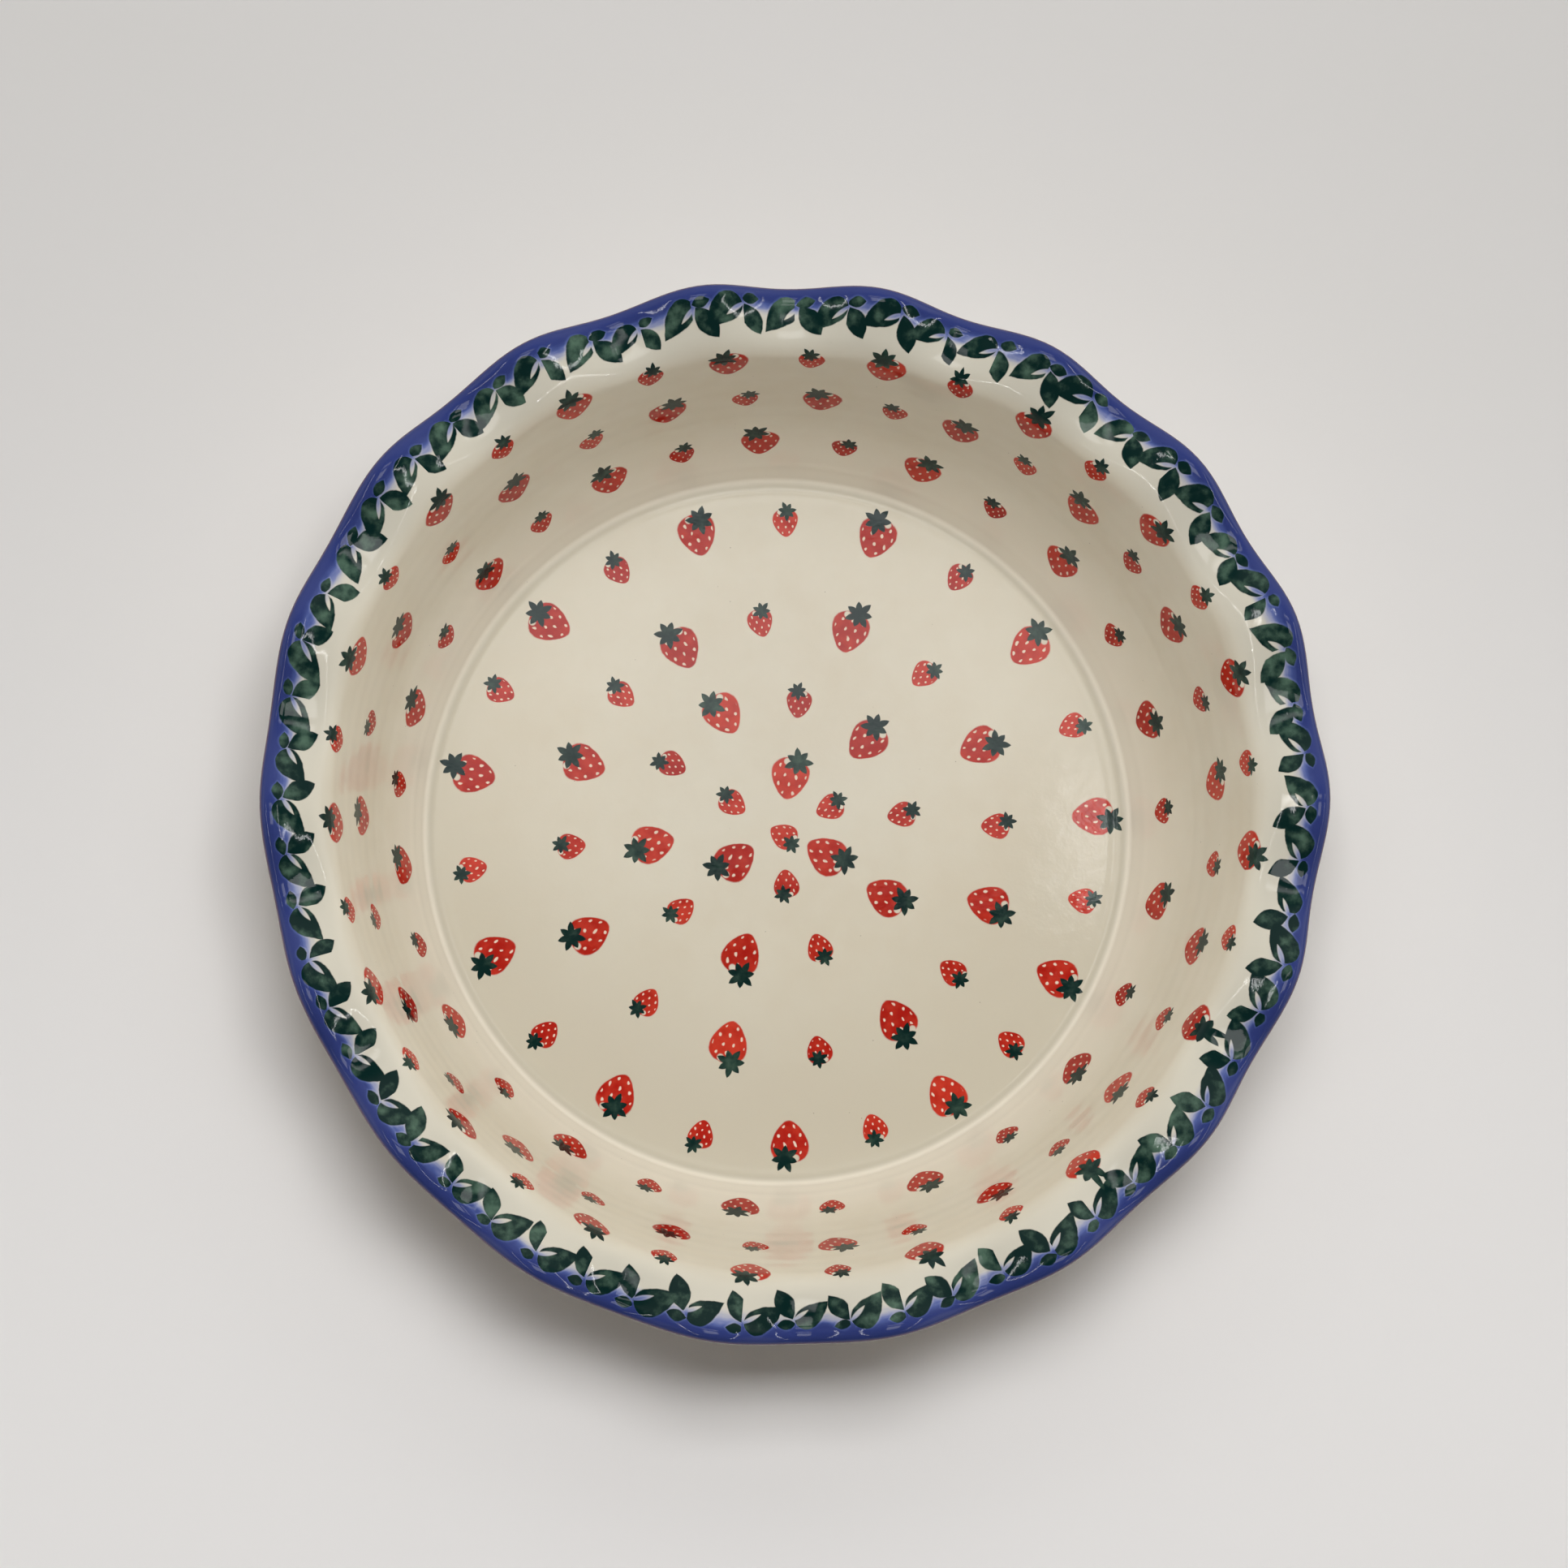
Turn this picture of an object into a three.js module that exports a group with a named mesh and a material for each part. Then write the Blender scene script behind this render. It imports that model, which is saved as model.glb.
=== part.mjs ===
// Round stoneware bowl with a wavy flared lip. One fired clay body stands on a turned foot ring,
// and fused coats of glaze cover all of it but the foot.
// Millimetres, +Z up. The origin is the centre of the circle that the foot stands on.

import * as THREE from 'three';

// Clay body. Each corner is given where its two straight sides would meet.
const lipRadius = 134.5; // mean radius of the lip's edge
const lipHeight = 86.5; // mean height of the lip's edge above the table
const lipThickness = 5;
const flareLength = 13.5; // how far the lip reaches out from the top of the wall
const flareAngle = THREE.MathUtils.degToRad(20); // rise of the lip above level
const wallThickness = 6;
const floorThickness = 6.5;
const floorRadius = 92.4; // inside corner of floor and wall
const coveRadius = 2.5; // rounding of that corner
const lowerWallLean = THREE.MathUtils.degToRad(25.5); // lean of the lower wall outwards from upright
const wallBendHeight = 42.8; // height at which the wall grows steeper
const wallBendRadius = 100; // inside rounding of that bend
const bendRadius = 9.5; // inside bend from wall to lip
const outerBendRadius = 4; // outside bend from wall to lip
const baseCornerRadius = 12; // outside corner of wall and underside

// Waves of the lip, pressed in while the clay was soft, and the slight warp from firing
const waveCount = 18;
const waveHeight = 4.2; // how far a crest stands above the mean lip
const waveDepth = 0.4; // how far a crest stands out from the mean lip
const waveFade = 14; // how far below the top of the wall the waves die out
const crestAngle = THREE.MathUtils.degToRad(0.8); // first crest, from +X
const warpCount = 3;
const warpDepth = 1.4;
const warpAngle = THREE.MathUtils.degToRad(22);

// Foot ring, left bare so that it doesn't stick in the kiln
const footHeight = 4;
const footInset = 4; // from the underside's flat edge in to the ring
const footWidth = 7;
const footEdgeRadius = 1.2;

// Glaze
const glazeThickness = 0.5;
const rimBandWidth = 9.5; // how far the blue band reaches from the lip's edge, inside and out
const wipedWidth = 1.5; // bare clay beside the foot ring

// Facets
const facetsPerWave = 6;
const roundSegments = facetsPerWave * waveCount;
const footSegments = 72;
const arcSteps = 2;
const wallBendSteps = 1;
const samePlace = 1e-6; // stations closer than this are one

const claySide = new THREE.MeshStandardMaterial({ color: 0xcdb899, roughness: 0.85, metalness: 0 });
const bareClay = new THREE.MeshStandardMaterial({ color: 0xc9b08c, roughness: 0.9, metalness: 0 });
const creamGlaze = new THREE.MeshStandardMaterial({ color: 0xdcd3bd, roughness: 0.12, metalness: 0 });
const blueGlaze = new THREE.MeshStandardMaterial({ color: 0x3a3f8c, roughness: 0.12, metalness: 0 });

// A point of the section: radius across, height up.
function point(radius, height) {
  return new THREE.Vector2(radius, height);
}

// The point that lies a distance away along a direction.
function along(start, direction, distance) {
  return start.clone().addScaledVector(direction, distance);
}

function heading(from, to) {
  return to.clone().sub(from).normalize();
}

// The outline runs counter-clockwise, so the outside is on its right.
function outwardOf(direction) {
  return point(direction.y, -direction.x);
}

// Where two lines meet, each given by a point and a direction.
function crossing(pointA, directionA, pointB, directionB) {
  const gap = pointB.clone().sub(pointA);
  const distance = gap.cross(directionB) / directionA.cross(directionB);
  return along(pointA, directionA, distance);
}

// The stations of a rounded corner: each holds a place on the clay and the way out of the clay there.
function roundedCorner(before, corner, after) {
  const arriving = heading(before.at, corner.at);
  const leaving = heading(corner.at, after.at);
  const turn = Math.atan2(arriving.cross(leaving), arriving.dot(leaving));
  const side = Math.sign(turn);
  const start = along(corner.at, arriving, -corner.radius * Math.tan(Math.abs(turn) / 2));
  const centre = along(start, outwardOf(arriving), -side * corner.radius);
  const steps = corner.steps ?? arcSteps;
  const stations = [];
  for (let step = 0; step <= steps; step++) {
    const out = outwardOf(arriving).rotateAround(point(0, 0), (turn * step) / steps);
    stations.push({ at: along(centre, out, side * corner.radius), out });
  }
  stations[steps].mark = corner.mark;
  return stations;
}

function plainStation(corner, neighbour, isFirst) {
  const direction = isFirst ? heading(corner.at, neighbour.at) : heading(neighbour.at, corner.at);
  return { at: corner.at, out: outwardOf(direction), mark: corner.mark };
}

// Walks the corners and rounds those that have a radius. Arcs that meet share one station.
function roundedOutline(corners) {
  const stations = [];
  corners.forEach((corner, index) => {
    const before = corners[index - 1];
    const after = corners[index + 1];
    const added = corner.radius
      ? roundedCorner(before, corner, after)
      : [plainStation(corner, before ?? after, !before)];
    for (const station of added) {
      const last = stations[stations.length - 1];
      if (!last || last.at.distanceTo(station.at) > samePlace) stations.push(station);
    }
  });
  return stations;
}

// Adds a station a distance along the outline from a marked one: onwards, or back if it is negative.
function addStation(stations, fromMark, distance, mark) {
  const step = Math.sign(distance);
  let index = stations.findIndex((station) => station.mark === fromMark);
  let left = Math.abs(distance);
  let span = stations[index].at.distanceTo(stations[index + step].at);
  while (left > span) {
    left -= span;
    index += step;
    span = stations[index].at.distanceTo(stations[index + step].at);
  }
  const here = stations[index];
  const next = stations[index + step];
  const at = here.at.clone().lerp(next.at, left / span);
  const out = here.out.clone().lerp(next.out, left / span).normalize();
  stations.splice(step > 0 ? index + 1 : index, 0, { at, out, mark });
}

// Section of the clay, from the middle of the underside round the lip to the middle of the floor.
const floorHeight = footHeight + floorThickness;
const flareOut = point(Math.cos(flareAngle), Math.sin(flareAngle));
const flareUp = point(-Math.sin(flareAngle), Math.cos(flareAngle));
const lipCentre = point(lipRadius - lipThickness / 2, lipHeight - lipThickness / 2);
const lipInside = along(lipCentre, flareUp, lipThickness / 2);
const lipOutside = along(lipCentre, flareUp, -lipThickness / 2);
const flareCorner = along(lipInside, flareOut, -flareLength);
const floorCorner = point(floorRadius, floorHeight);
const lowerUp = point(Math.sin(lowerWallLean), Math.cos(lowerWallLean));
const wallBend = along(floorCorner, lowerUp, (wallBendHeight - floorHeight) / lowerUp.y);
const upperUp = heading(wallBend, flareCorner);
const outerWallFoot = along(floorCorner, outwardOf(lowerUp), wallThickness);
const outerWallTop = along(flareCorner, outwardOf(upperUp), wallThickness);
const baseCorner = crossing(outerWallFoot, lowerUp, point(0, footHeight), point(1, 0));
const outerWallBend = crossing(outerWallFoot, lowerUp, outerWallTop, upperUp);
const outerFlareCorner = crossing(outerWallTop, upperUp, lipOutside, flareOut);
const baseTurn = lowerUp.angle();
const baseFlatRadius = baseCorner.x - baseCornerRadius * Math.tan(baseTurn / 2);
const footRadius = baseFlatRadius - footInset;
const footInnerRadius = footRadius - footWidth;

const outline = roundedOutline([
  { at: point(0, footHeight) },
  { at: point(footInnerRadius - wipedWidth, footHeight), mark: 'wellEnd' },
  { at: point(footRadius + wipedWidth, footHeight), mark: 'outsideStart' },
  { at: baseCorner, radius: baseCornerRadius },
  { at: outerWallBend, radius: wallBendRadius + wallThickness, steps: wallBendSteps },
  { at: outerFlareCorner, radius: outerBendRadius },
  { at: along(lipOutside, flareOut, lipThickness / 2), radius: lipThickness / 2, mark: 'lipEdge' },
  { at: along(lipInside, flareOut, lipThickness / 2), radius: lipThickness / 2 },
  { at: flareCorner, radius: bendRadius },
  { at: wallBend, radius: wallBendRadius, steps: wallBendSteps },
  { at: floorCorner, radius: coveRadius },
  { at: point(0, floorHeight) },
]);
addStation(outline, 'lipEdge', rimBandWidth, 'bandInside');
addStation(outline, 'lipEdge', -rimBandWidth, 'bandOutside');

// The waves grow from the upper wall to the lip, and the warp grows with height above the floor.
function waveShare(at) {
  const reach = at.clone().sub(lipCentre).dot(flareOut) + flareLength;
  return THREE.MathUtils.clamp((reach + waveFade) / (flareLength + waveFade), 0, 1) ** 2;
}

function warpShare(at) {
  return THREE.MathUtils.clamp((at.y - floorHeight) / (lipHeight - floorHeight), 0, 1);
}

for (const station of outline) {
  station.wave = waveShare(station.at);
  station.warp = warpShare(station.at);
}

// The part of the outline between two marked stations; an end with no mark lies on the axis.
function stretch(fromMark, toMark) {
  const first = fromMark ? outline.findIndex((station) => station.mark === fromMark) : 0;
  const last = toMark ? outline.findIndex((station) => station.mark === toMark) : outline.length - 1;
  return outline.slice(first, last + 1);
}

// The same stations, lifted off the clay by a thickness.
function lifted(stations, thickness) {
  return stations.map((station) => ({ ...station, at: along(station.at, station.out, thickness) }));
}

// Section of a coat that lies on a stretch of clay.
function coatSection(stations) {
  const surface = lifted(stations, glazeThickness);
  const seat = stations.map((station) => ({ ...station, isSeat: true })).reverse();
  if (stations[0].at.x === 0) return [...surface, ...seat];
  const loop = [...seat, ...surface];
  const endsOnAxis = stations[stations.length - 1].at.x === 0;
  return endsOnAxis ? loop : [...loop, seat[0]];
}

// Turns a section round the Z axis, with a column of points on each crest.
function turned(section, segments) {
  const points = section.map((station) => station.at);
  const geometry = new THREE.LatheGeometry(points, segments, crestAngle + Math.PI / 2);
  return geometry.rotateX(Math.PI / 2);
}

// Two triangles for each cell between two columns. Where a coat runs back over its seat its cells are split
// the other way, so that it has the facets of the clay under it and of the coat that it meets.
function cellIndex(section) {
  const rows = section.length;
  const index = [];
  for (let column = 0; column < roundSegments; column++) {
    for (let row = 0; row < rows - 1; row++) {
      const near = column * rows + row;
      const far = near + rows;
      if (section[row + 1].isSeat) index.push(near, far, far + 1, near, far + 1, near + 1);
      else index.push(near, far, near + 1, far, far + 1, near + 1);
    }
  }
  return index;
}

// Turns a section and presses the waves and the warp into it.
function wavyTurned(section) {
  const geometry = turned(section, roundSegments);
  geometry.setIndex(cellIndex(section));
  const position = geometry.attributes.position;
  for (let index = 0; index < position.count; index++) {
    const station = section[index % section.length];
    const column = Math.floor(index / section.length) % roundSegments;
    const angle = crestAngle + (2 * Math.PI * column) / roundSegments;
    const wave = station.wave * Math.cos(waveCount * (angle - crestAngle));
    const warp = station.warp * Math.cos(warpCount * (angle - warpAngle));
    const radius = station.at.x + waveDepth * wave + warpDepth * warp;
    const height = station.at.y + waveHeight * wave;
    position.setXYZ(index, radius * Math.cos(angle), radius * Math.sin(angle), height);
  }
  geometry.computeVertexNormals();
  return geometry;
}

function subPart(name, geometry, material) {
  const mesh = new THREE.Mesh(geometry, material);
  mesh.name = name;
  return mesh;
}

function clayBody() {
  return subPart('clay_body', wavyTurned(outline), claySide);
}

function footRing() {
  const section = roundedOutline([
    { at: point(footInnerRadius, footHeight) },
    { at: point(footInnerRadius, 0), radius: footEdgeRadius },
    { at: point(footRadius, 0), radius: footEdgeRadius },
    { at: point(footRadius, footHeight) },
  ]);
  return subPart('foot_ring', turned([...section, section[0]], footSegments), bareClay);
}

function coat(name, stations, material) {
  return subPart(name, wavyTurned(coatSection(stations)), material);
}

const bowl = new THREE.Group();
bowl.add(
  clayBody(),
  footRing(),
  coat('inside_glaze', stretch('bandInside', null), creamGlaze),
  coat('rim_glaze', stretch('bandOutside', 'bandInside'), blueGlaze),
  coat('outside_glaze', stretch('outsideStart', 'bandOutside'), creamGlaze),
  coat('foot_well_glaze', stretch(null, 'wellEnd'), creamGlaze),
);

export default bowl;
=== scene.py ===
import cmath
import math

import bpy
import numpy as np
from mathutils import Matrix, Vector


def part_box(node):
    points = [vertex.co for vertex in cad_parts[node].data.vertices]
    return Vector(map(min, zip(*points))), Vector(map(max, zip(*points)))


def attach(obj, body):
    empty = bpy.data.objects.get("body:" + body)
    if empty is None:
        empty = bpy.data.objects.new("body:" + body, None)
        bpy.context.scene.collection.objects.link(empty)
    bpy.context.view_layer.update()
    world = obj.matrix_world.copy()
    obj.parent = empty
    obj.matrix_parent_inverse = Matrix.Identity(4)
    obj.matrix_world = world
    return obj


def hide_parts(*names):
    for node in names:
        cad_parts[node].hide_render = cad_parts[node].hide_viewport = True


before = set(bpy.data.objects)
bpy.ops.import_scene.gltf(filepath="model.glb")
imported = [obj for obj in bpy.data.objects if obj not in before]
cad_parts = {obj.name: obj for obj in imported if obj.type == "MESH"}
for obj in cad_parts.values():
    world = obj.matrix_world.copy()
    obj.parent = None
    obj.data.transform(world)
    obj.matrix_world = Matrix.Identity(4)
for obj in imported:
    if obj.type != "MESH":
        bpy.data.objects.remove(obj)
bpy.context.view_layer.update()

# Lengths are metres. A point of the section is a complex number: radius + height * 1j.
MM = 0.001
FULL_TURN = 2 * math.pi

# Section of the bowl
LIP_RADIUS = 134.5 * MM
LIP_HEIGHT = 86.5 * MM
LIP_THICKNESS = 5 * MM
FLARE_LENGTH = 13.5 * MM
FLARE_ANGLE = math.radians(20)
WALL_THICKNESS = 6 * MM
FLOOR_RADIUS = 92.4 * MM
COVE_RADIUS = 5 * MM
COVE_SHIFT = 2 * MM  # the soft corner lies this far out, so that the flat floor keeps its width
LOWER_WALL_LEAN = math.radians(25.5)
WALL_BEND_HEIGHT = 42.8 * MM
WALL_BEND_RADIUS = 100 * MM
BEND_RADIUS = 9.5 * MM
OUTER_BEND_RADIUS = 4 * MM
BASE_CORNER_RADIUS = 12 * MM
FOOT_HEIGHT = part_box("foot_ring")[1].z
FOOT_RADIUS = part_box("foot_ring")[1].x
FOOT_WIDTH = 7 * MM
FOOT_EDGE_RADIUS = 1.2 * MM
FLOOR_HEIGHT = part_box("inside_glaze")[0].z
GLAZE_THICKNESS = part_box("foot_well_glaze")[1].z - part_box("foot_well_glaze")[0].z
RIM_BAND_WIDTH = 9.5 * MM
WIPED_WIDTH = 1.5 * MM

# Waves and warp of the lip
WAVE_COUNT = 18
WAVE_HEIGHT = 4.2 * MM
WAVE_DEPTH = 0.4 * MM
WAVE_FADE = 14 * MM
CREST_ANGLE = math.radians(0.8)
WARP_COUNT = 3
WARP_DEPTH = 1.4 * MM
WARP_ANGLE = math.radians(22)

# Marks that throwing left in the clay: shallow rings up the wall and three ridges at the floor's edge
THROWING_HEIGHT = 0.02 * MM
THROWING_PITCH = 8.5 * MM
THROWING_STRAY = 2  # how far the rings run ahead and fall behind
THROWING_START = (22 * MM, 30 * MM)  # the rings fade in between these lengths from the lip's edge
THROWING_END = (-10 * MM, -16 * MM)  # and out towards the cove, along the section from its middle
RIDGE_HEIGHT = 0.1 * MM
RIDGE_WIDTH = 0.7 * MM
RIDGE_PLACES = (-9.0 * MM, -3.6 * MM, 3.2 * MM)  # along the section from the middle of the cove

# Fineness of the meshes
COLUMNS = 20 * WAVE_COUNT
ROW_STEP = 1.25 * MM
ARC_STEP = math.radians(7)
SEAT_STEP = 4  # a hidden seat keeps one row in so many
STEP_SLACK = 1e-6  # a stretch that is longer than its steps by this share of one gets no step more
ROW_DIGITS = 8  # rows that are the same to so many digits are one
ON_AXIS = 1e-7  # a ring of points closer to the axis than this is one point
TINY = 1e-12  # stands in for a length of nothing in a division

# Where the glaze is thinner
EDGE_TAPER = 0.8 * MM  # it thins over this length beside the bare foot
EDGE_SHARE = 0.25  # to this share of its depth
LIP_THINNING = 0.27 * MM  # it runs thinner over the lip by this much
LIP_THIN_REACH = (9 * MM, 4 * MM)  # between these lengths from the lip's edge


def unit(step):
    return step / abs(step)


def outward(direction):
    """The way out of the clay, which is on the right of the outline."""
    return direction * -1j


def rounded_corner(before, corner, after, radius):
    """Points of a rounded corner, each with the way out of the clay there."""
    arriving = unit(corner - before)
    turn = cmath.phase(unit(after - corner) / arriving)
    side = math.copysign(1, turn)
    start = corner - arriving * radius * math.tan(abs(turn) / 2)
    centre = start - outward(arriving) * side * radius
    steps = math.ceil(abs(turn) / ARC_STEP)
    outs = [outward(arriving) * cmath.exp(1j * turn * step / steps) for step in range(steps + 1)]
    return [(centre + out * side * radius, out) for out in outs]


def crossing(point_a, direction_a, point_b, direction_b):
    """Where two lines meet, each given by a point and a direction."""
    gap = point_b - point_a
    reach = (gap.conjugate() * direction_b).imag / (direction_a.conjugate() * direction_b).imag
    return point_a + direction_a * reach


flare_out = cmath.exp(1j * FLARE_ANGLE)
flare_up = flare_out * 1j
lip_centre = complex(LIP_RADIUS - LIP_THICKNESS / 2, LIP_HEIGHT - LIP_THICKNESS / 2)
lip_inside = lip_centre + flare_up * LIP_THICKNESS / 2
lip_outside = lip_centre - flare_up * LIP_THICKNESS / 2
flare_corner = lip_inside - flare_out * FLARE_LENGTH
floor_corner = complex(FLOOR_RADIUS, FLOOR_HEIGHT)
lower_up = 1j * cmath.exp(-1j * LOWER_WALL_LEAN)
wall_bend = floor_corner + lower_up * (WALL_BEND_HEIGHT - FLOOR_HEIGHT) / lower_up.imag
upper_up = unit(flare_corner - wall_bend)
outer_wall_foot = floor_corner + outward(lower_up) * WALL_THICKNESS
outer_wall_top = flare_corner + outward(upper_up) * WALL_THICKNESS
base_corner = crossing(outer_wall_foot, lower_up, complex(0, FOOT_HEIGHT), complex(1, 0))
outer_wall_bend = crossing(outer_wall_foot, lower_up, outer_wall_top, upper_up)
outer_flare_corner = crossing(outer_wall_top, upper_up, lip_outside, flare_out)


def clay_outline():
    """Points of the clay's outline, each with the way out of the clay there.
    It runs from the middle of the underside round the lip to the middle of the floor."""
    lip_reach = flare_out * LIP_THICKNESS / 2
    corners = [
        (complex(0, FOOT_HEIGHT), 0),
        (base_corner, BASE_CORNER_RADIUS),
        (outer_wall_bend, WALL_BEND_RADIUS + WALL_THICKNESS),
        (outer_flare_corner, OUTER_BEND_RADIUS),
        (lip_outside + lip_reach, LIP_THICKNESS / 2),
        (lip_inside + lip_reach, LIP_THICKNESS / 2),
        (flare_corner, BEND_RADIUS),
        (wall_bend, WALL_BEND_RADIUS),
        (floor_corner + COVE_SHIFT, COVE_RADIUS),
        (complex(0, FLOOR_HEIGHT), 0),
    ]
    places = [place for place, _ in corners]
    points = [(places[0], outward(1 + 0j))]
    for index in range(1, len(corners) - 1):
        points += rounded_corner(places[index - 1], places[index], places[index + 1], corners[index][1])
    points.append((places[-1], outward(-1 + 0j)))
    return points


def filled(points):
    """The outline with points added along its straight stretches, as arrays."""
    rows = [points[0]]
    for at, out in points[1:]:
        last_at, last_out = rows[-1]
        gap = abs(at - last_at)
        steps = math.ceil(gap / ROW_STEP - STEP_SLACK)
        for step in range(1, steps + 1):
            share = step / steps
            rows.append((last_at + (at - last_at) * share, unit(last_out + (out - last_out) * share)))
    return np.array([at for at, _ in rows]), np.array([out for _, out in rows])


def along(at):
    """The length of the outline up to each of its points."""
    return np.concatenate([[0.0], np.cumsum(np.abs(np.diff(at)))])


outline_at, outline_out = filled(clay_outline())
outline_length = along(outline_at)
lip_length = outline_length[np.argmax(((outline_at - lip_centre) * flare_out.conjugate()).real)]
cove_length = outline_length[np.argmin(np.abs(outline_at - floor_corner - COVE_SHIFT))]
cuts = {
    "well_end": FOOT_RADIUS - FOOT_WIDTH - WIPED_WIDTH,
    "outside_start": FOOT_RADIUS + WIPED_WIDTH,
    "band_outside": lip_length - RIM_BAND_WIDTH,
    "band_inside": lip_length + RIM_BAND_WIDTH,
}
length = np.unique(np.round(np.concatenate([outline_length, list(cuts.values())]), ROW_DIGITS))
clay_at = np.interp(length, outline_length, outline_at)
clay_out = unit(np.interp(length, outline_length, outline_out))
row_of = {name: int(np.argmin(np.abs(length - place))) for name, place in cuts.items()}
reach = length - lip_length  # from the lip's edge, positive on the inside


def smooth(value, low, high):
    """Rises from 0 at low to 1 at high with level ends."""
    share = np.clip((value - low) / (high - low), 0, 1)
    return share * share * (3 - 2 * share)


def glaze_depth():
    """How far the glaze stands off the clay at each row, with the marks of throwing on the inside."""
    depth = np.full(len(length), GLAZE_THICKNESS)
    from_cove = length - cove_length
    ridges = sum(np.exp(-((from_cove - place) / RIDGE_WIDTH) ** 2) for place in RIDGE_PLACES)
    on_wall = smooth(reach, *THROWING_START) * smooth(from_cove, *THROWING_END)
    stray = THROWING_STRAY * np.sin(from_cove / THROWING_PITCH)
    rings = np.cos(FULL_TURN * from_cove / THROWING_PITCH + stray)
    depth = depth + RIDGE_HEIGHT * ridges + THROWING_HEIGHT * rings * on_wall
    depth = depth - LIP_THINNING * smooth(np.abs(reach), *LIP_THIN_REACH)
    from_bare = np.minimum(np.abs(length - cuts["well_end"]), np.abs(length - cuts["outside_start"]))
    return depth * (EDGE_SHARE + (1 - EDGE_SHARE) * np.sqrt(np.clip(from_bare / EDGE_TAPER, 0, 1)))


from_lip = ((clay_at - lip_centre) * flare_out.conjugate()).real
wave_share = np.clip((from_lip + FLARE_LENGTH + WAVE_FADE) / (FLARE_LENGTH + WAVE_FADE), 0, 1) ** 2
warp_share = np.clip((clay_at.imag - FLOOR_HEIGHT) / (LIP_HEIGHT - FLOOR_HEIGHT), 0, 1)
angles = CREST_ANGLE + FULL_TURN * np.arange(COLUMNS) / COLUMNS
crests = np.cos(WAVE_COUNT * (angles - CREST_ANGLE))
warps = np.cos(WARP_COUNT * (angles - WARP_ANGLE))


def turned(at, wave=0.0, warp=0.0):
    """Turns a section round the Z axis, with waves and warp pressed in: rows by columns of points."""
    press = np.outer(np.broadcast_to(wave, at.shape), crests)
    pull = np.outer(np.broadcast_to(warp, at.shape), warps)
    radius = at.real[:, None] + WAVE_DEPTH * press + WARP_DEPTH * pull
    height = at.imag[:, None] + WAVE_HEIGHT * press
    return np.stack([radius * np.cos(angles), radius * np.sin(angles), height], axis=-1)


def ways_out(points, lengths):
    """The surface's normals at rows by columns of points."""
    down = np.gradient(points, lengths, axis=0)
    round_about = np.roll(points, -1, axis=1) - np.roll(points, 1, axis=1)
    normals = np.cross(round_about, down)
    size = np.linalg.norm(normals, axis=-1, keepdims=True)
    return normals / np.maximum(size, TINY)


def level_ends(normals):
    """On the axis the underside faces straight down and the floor straight up."""
    normals[0] = (0, 0, -1)
    normals[-1] = (0, 0, 1)
    return normals


clay = turned(clay_at, wave_share, warp_share)
clay_normals = level_ends(ways_out(clay, length))
surface = turned(clay_at + clay_out * glaze_depth(), wave_share, warp_share)
surface_normals = level_ends(ways_out(surface, length))


class Rings:
    """Rings of points that a skin is stretched over, from first to last."""

    def __init__(self):
        self.points = []
        self.normals = []
        self.maps = []
        self.reaches = []
        self.sharp = set()

    def add(self, points, normals, map_rings, reaches):
        self.points.append(points)
        self.normals.append(normals)
        self.maps.append(map_rings)
        self.reaches.append(reaches)

    def joined(self):
        self.points = np.concatenate(self.points)
        self.normals = np.concatenate(self.normals)
        self.maps = np.concatenate(self.maps)
        self.reaches = np.concatenate(self.reaches)
        return self


def map_disc(centre, inner, outer, count):
    """Places on the bake's map for so many rings: circles that grow from inner to outer."""
    spread = np.linspace(inner, outer, count)[:, None]
    return np.stack([centre[0] + spread * np.cos(angles), centre[1] + spread * np.sin(angles)], axis=-1)


def skin_faces(count, is_closed):
    """Corners of the faces between neighbouring rings, as ring and column of each corner."""
    near = np.arange(count if is_closed else count - 1)
    column = np.arange(COLUMNS)
    near, column = (part.ravel() for part in np.meshgrid(near, column, indexing="ij"))
    far = (near + 1) % count
    after = (column + 1) % COLUMNS
    return np.stack([near, near, far, far], axis=1), np.stack([column, after, after, column], axis=1)


def numbered(rings):
    """The mesh's vertices and the number of each point's vertex. A ring on the axis is one vertex."""
    on_axis = np.hypot(rings.points[:, 0, 0], rings.points[:, 0, 1]) < ON_AXIS
    sizes = np.where(on_axis, 1, COLUMNS)
    first = np.concatenate([[0], np.cumsum(sizes)[:-1]])
    number = first[:, None] + np.where(on_axis[:, None], 0, np.arange(COLUMNS)[None, :])
    vertices = np.concatenate([ring[:1] if flat else ring for ring, flat in zip(rings.points, on_axis)])
    return vertices, number


def flat_normals(corners):
    """The normal of each face that has these corners."""
    normals = np.cross(corners[:, 2] - corners[:, 0], corners[:, 3] - corners[:, 1])
    return normals / np.maximum(np.linalg.norm(normals, axis=1, keepdims=True), TINY)


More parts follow.
